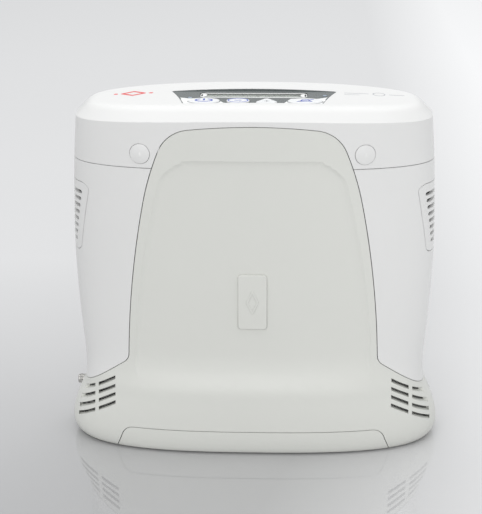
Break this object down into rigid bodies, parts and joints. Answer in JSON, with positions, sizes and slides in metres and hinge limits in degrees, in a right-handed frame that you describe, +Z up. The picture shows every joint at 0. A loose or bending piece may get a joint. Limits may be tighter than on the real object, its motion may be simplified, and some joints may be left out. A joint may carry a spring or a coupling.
{
  "type": "portable oxygen concentrator",
  "caption": "Small upright oxygen concentrator with a flared base, domed top control face, side air intakes, corner exhaust slots and a drop-out battery.",
  "frame": {"origin": "middle of the footprint, on the surface the feet stand on", "axes": "+X to the right seen from the front, front faces -Y, +Z up"},
  "size_m": [0.2492, 0.0973, 0.235],
  "materials": {
    "shell_white": "fine satin moulded plastic, bright white",
    "shell_grey": "fine satin moulded plastic, pale warm grey",
    "key_white": "smooth satin key caps with blue symbols",
    "release_grey": "satin grey latch key",
    "fascia_grey": "semi-gloss dark grey control face",
    "lens_clear": "clear acrylic window",
    "lcd_pale": "pale reflective display",
    "lamp": "translucent bluish light guide",
    "filter_foam": "open-cell dark foam",
    "dark_mesh": "dark diagonal mesh",
    "rubber": "matt black rubber",
    "black_plastic": "moulded black plastic",
    "nozzle_metal": "turned and polished plated metal",
    "steel": "zinc plated steel",
    "brass": "turned brass",
    "cast_aluminium": "satin aluminium",
    "copper_wound": "copper",
    "circuit_board": "green circuit board",
    "cell_wrap": "shrink-wrapped cells"
  },
  "bodies": {
    "housing": {"base_tray": "shell_grey", "battery_socket": "black_plastic", "board_components": "black_plastic", "buzzer": "black_plastic", "chassis": "steel", "compressor_crankcase": "cast_aluminium", "compressor_mounts": "rubber", "control_fascia": "fascia_grey", "cooling_coil": "copper_wound", "cover_screws": "steel", "crank_bearings": "steel", "cylinder_heads": "cast_aluminium", "display_board": "circuit_board", "display_lens": "lens_clear", "dome_switches": "steel", "dose_valve": "black_plastic", "emblem_plate": "shell_grey", "exhaust_mesh": "dark_mesh", "fan_frame": "black_plastic", "front_cover": "shell_grey", "intake_filters": "filter_foam", "intake_grille_left": "shell_white", "intake_grille_right": "shell_white", "lcd_module": "lcd_pale", "main_board": "circuit_board", "motor_stator": "copper_wound", "outlet_cup": "shell_grey", "outlet_filter": "black_plastic", "outlet_nozzle": "nozzle_metal", "outlet_nut": "brass", "outlet_o_ring": "rubber", "power_inlet": "black_plastic", "power_inlet_pin": "nozzle_metal", "product_tank": "cast_aluminium", "rear_cover": "shell_grey", "release_spring": "steel", "rubber_feet": "rubber", "screw_plugs": "shell_white", "side_panel_left": "shell_white", "side_panel_right": "shell_white", "sieve_bed_caps": "black_plastic", "sieve_beds": "cast_aluminium", "solenoid_valves": "black_plastic", "status_lamps": "lamp", "top_cover": "shell_white", "valve_manifold": "cast_aluminium"},
    "battery": {"battery_cover": "shell_grey", "battery_case": "black_plastic", "battery_cells": "cell_wrap", "battery_terminals": "brass"},
    "power_key": {"button_power": "key_white"},
    "minus_key": {"button_minus": "key_white"},
    "plus_key": {"button_plus": "key_white"},
    "mute_key": {"button_mute": "key_white"},
    "release_key": {"battery_release": "release_grey"},
    "crank": {"crankshaft": "steel", "motor_rotor": "steel"},
    "left_piston": {"piston_left": "cast_aluminium"},
    "right_piston": {"piston_right": "cast_aluminium"},
    "fan": {"fan_rotor": "black_plastic"}
  },
  "joints": [
    {"name": "battery_slide", "type": "slide", "parent": "housing", "child": "battery", "axis": [0, 0, -1], "range_m": [0, 0.06]},
    {"name": "power_press", "type": "slide", "parent": "housing", "child": "power_key", "axis": [0, 0, -1], "range_m": [0, 0.0008], "stiffness_N_per_m": 900, "springref_m": -0.0006},
    {"name": "minus_press", "type": "slide", "parent": "housing", "child": "minus_key", "axis": [0, 0, -1], "range_m": [0, 0.0008], "stiffness_N_per_m": 900, "springref_m": -0.0006},
    {"name": "plus_press", "type": "slide", "parent": "housing", "child": "plus_key", "axis": [0, 0, -1], "range_m": [0, 0.0008], "stiffness_N_per_m": 900, "springref_m": -0.0006},
    {"name": "mute_press", "type": "slide", "parent": "housing", "child": "mute_key", "axis": [0, 0, -1], "range_m": [0, 0.0008], "stiffness_N_per_m": 900, "springref_m": -0.0006},
    {"name": "release_press", "type": "slide", "parent": "housing", "child": "release_key", "axis": [0, -1, 0], "range_m": [0, 0.0025], "stiffness_N_per_m": 900, "springref_m": -0.002, "deforming": ["release_spring"]},
    {"name": "crank_spin", "type": "hinge", "parent": "housing", "child": "crank", "pos_m": [-0.038, 0, 0.092], "axis": [0, 1, 0], "continuous": true},
    {"name": "left_piston_slide", "type": "slide", "parent": "housing", "child": "left_piston", "axis": [1, 0, 0], "range_m": [-0.0025, 0.0025]},
    {"name": "right_piston_slide", "type": "slide", "parent": "housing", "child": "right_piston", "axis": [1, 0, 0], "range_m": [-0.0025, 0.0025]},
    {"name": "fan_spin", "type": "hinge", "parent": "housing", "child": "fan", "pos_m": [-0.091, 0, 0.158], "axis": [1, 0, 0], "continuous": true}
  ]
}
